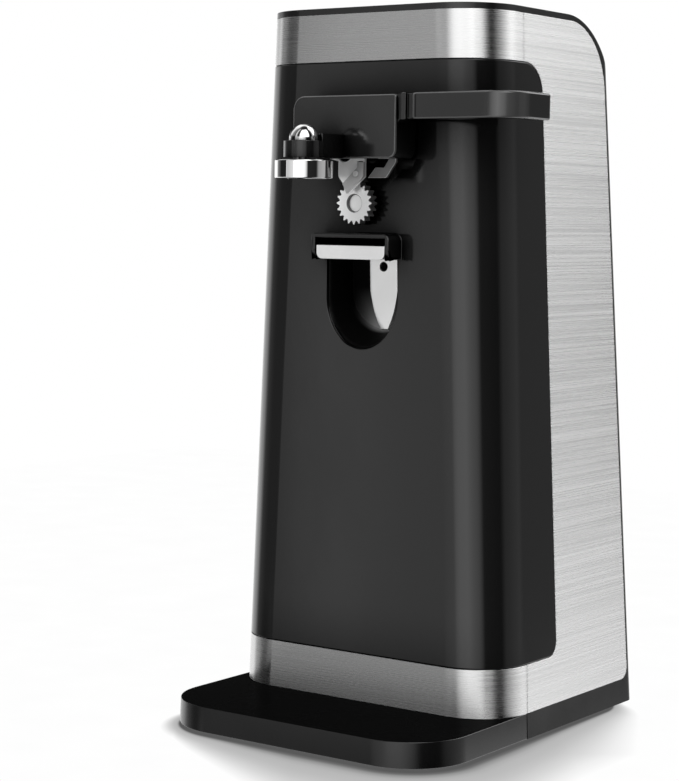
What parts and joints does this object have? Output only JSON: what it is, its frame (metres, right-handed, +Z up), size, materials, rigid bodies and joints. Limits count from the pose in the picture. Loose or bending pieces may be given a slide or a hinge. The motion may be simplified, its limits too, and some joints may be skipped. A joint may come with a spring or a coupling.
{
  "type": "electric can opener",
  "caption": "Tall tapered electric can opener in brushed steel and black plastic, with a lever-mounted cutter and lid magnet, bottle opener and knife sharpener.",
  "frame": {"origin": "bottom centre of the whole opener's box, on the table under its feet", "axes": "+Z up; -Y the front, where the lever and the feed wheel are; +X the handle's side"},
  "size_m": [0.1192, 0.1354, 0.24],
  "materials": {
    "brushed_steel": "horizontally brushed stainless sheet",
    "black_plastic": "fine satin black",
    "gloss_black": "polished black",
    "bright_steel": "bright",
    "grey_steel": "hardened, grey",
    "plain_steel": "turned",
    "sintered_steel": "satin",
    "zinc_steel": "zinc plated",
    "iron_sheet": "stacked sheets",
    "chrome": "polished",
    "ferrite": "matt",
    "bronze": "sintered",
    "copper_wire": "enamelled wire",
    "rubber": "matt",
    "white_plastic": "natural",
    "red_plastic": "satin",
    "grit": "abrasive grit"
  },
  "bodies": {
    "body": {"rear_housing": "black_plastic", "front_panel": "gloss_black", "top_band": "brushed_steel", "bottom_band": "brushed_steel", "side_panel_left": "brushed_steel", "side_panel_right": "brushed_steel", "base_foot": "black_plastic", "bottom_cover": "black_plastic", "foot_pad_1": "rubber", "foot_pad_2": "rubber", "foot_pad_3": "rubber", "foot_pad_4": "rubber", "cord_gland": "rubber", "sharpener_guide": "black_plastic", "front_frame": "zinc_steel", "rear_frame": "zinc_steel", "frame_pillars": "zinc_steel", "drive_bush": "black_plastic", "lever_bush": "bronze", "second_gear_pin": "plain_steel", "first_gear_pin": "plain_steel", "motor_stack": "iron_sheet", "coil_bobbin": "white_plastic", "motor_coil": "copper_wire", "bearing_bridge": "zinc_steel", "switch_body": "black_plastic", "switch_screws": "zinc_steel", "base_screws": "zinc_steel", "frame_screws": "zinc_steel", "motor_bolts": "zinc_steel", "bottle_lip": "bright_steel", "bottle_tongue": "bright_steel"},
    "lever": {"lever_arm": "gloss_black", "magnet_arm": "gloss_black", "cutter_carrier": "plain_steel", "cutter_blade": "bright_steel", "lid_stripper": "grey_steel", "can_guide": "grey_steel", "guide_rivet": "plain_steel", "carrier_rivets": "plain_steel", "lever_shaft": "plain_steel"},
    "magnet_stud": {"magnet_stud": "chrome"},
    "magnet_disc": {"magnet_cup": "chrome", "magnet_core": "ferrite"},
    "drive": {"feed_wheel": "sintered_steel", "drive_shaft": "plain_steel", "drive_gear": "white_plastic"},
    "second_gear": {"second_gear": "white_plastic"},
    "first_gear": {"first_gear": "white_plastic"},
    "rotor": {"motor_shaft": "plain_steel", "rotor_core": "iron_sheet", "cooling_fan": "white_plastic", "sharpening_wheel": "grit"},
    "switch_plunger": {"switch_plunger": "red_plastic"}
  },
  "joints": [
    {"name": "lever", "type": "hinge", "parent": "body", "child": "lever", "pos_m": [-0.0174, -0.0282, 0.2004], "axis": [0, -1, 0], "range_deg": [0, 18]},
    {"name": "magnet_swivel", "type": "hinge", "parent": "lever", "child": "magnet_stud", "pos_m": [-0.0092, -0.0546, 0.1878], "axis": [0, 0, 1], "continuous": true},
    {"name": "magnet_tilt", "type": "hinge", "parent": "magnet_stud", "child": "magnet_disc", "pos_m": [-0.0092, -0.0546, 0.1878], "axis": [1, 0, 0], "range_deg": [-4, 4]},
    {"name": "motor", "type": "hinge", "parent": "body", "child": "rotor", "pos_m": [-0.0044, -0.0282, 0.126], "axis": [0, -1, 0], "continuous": true},
    {"name": "first_gear", "type": "hinge", "parent": "body", "child": "first_gear", "pos_m": [0.01353, -0.0282, 0.13486], "axis": [0, -1, 0], "continuous": true},
    {"name": "second_gear", "type": "hinge", "parent": "body", "child": "second_gear", "pos_m": [-0.0044, -0.0282, 0.1469], "axis": [0, -1, 0], "continuous": true},
    {"name": "feed", "type": "hinge", "parent": "body", "child": "drive", "pos_m": [-0.0044, -0.0282, 0.1759], "axis": [0, -1, 0], "continuous": true},
    {"name": "switch", "type": "slide", "parent": "body", "child": "switch_plunger", "axis": [0, 0, 1], "range_m": [-0.0016, 0]}
  ],
  "couplings": [
    {"joint": "first_gear", "follows": "motor", "ratio": -0.25},
    {"joint": "second_gear", "follows": "motor", "ratio": 0.056818},
    {"joint": "feed", "follows": "motor", "ratio": -0.011837},
    {"joint": "switch", "follows": "lever", "m_per_rad": -0.0045}
  ]
}
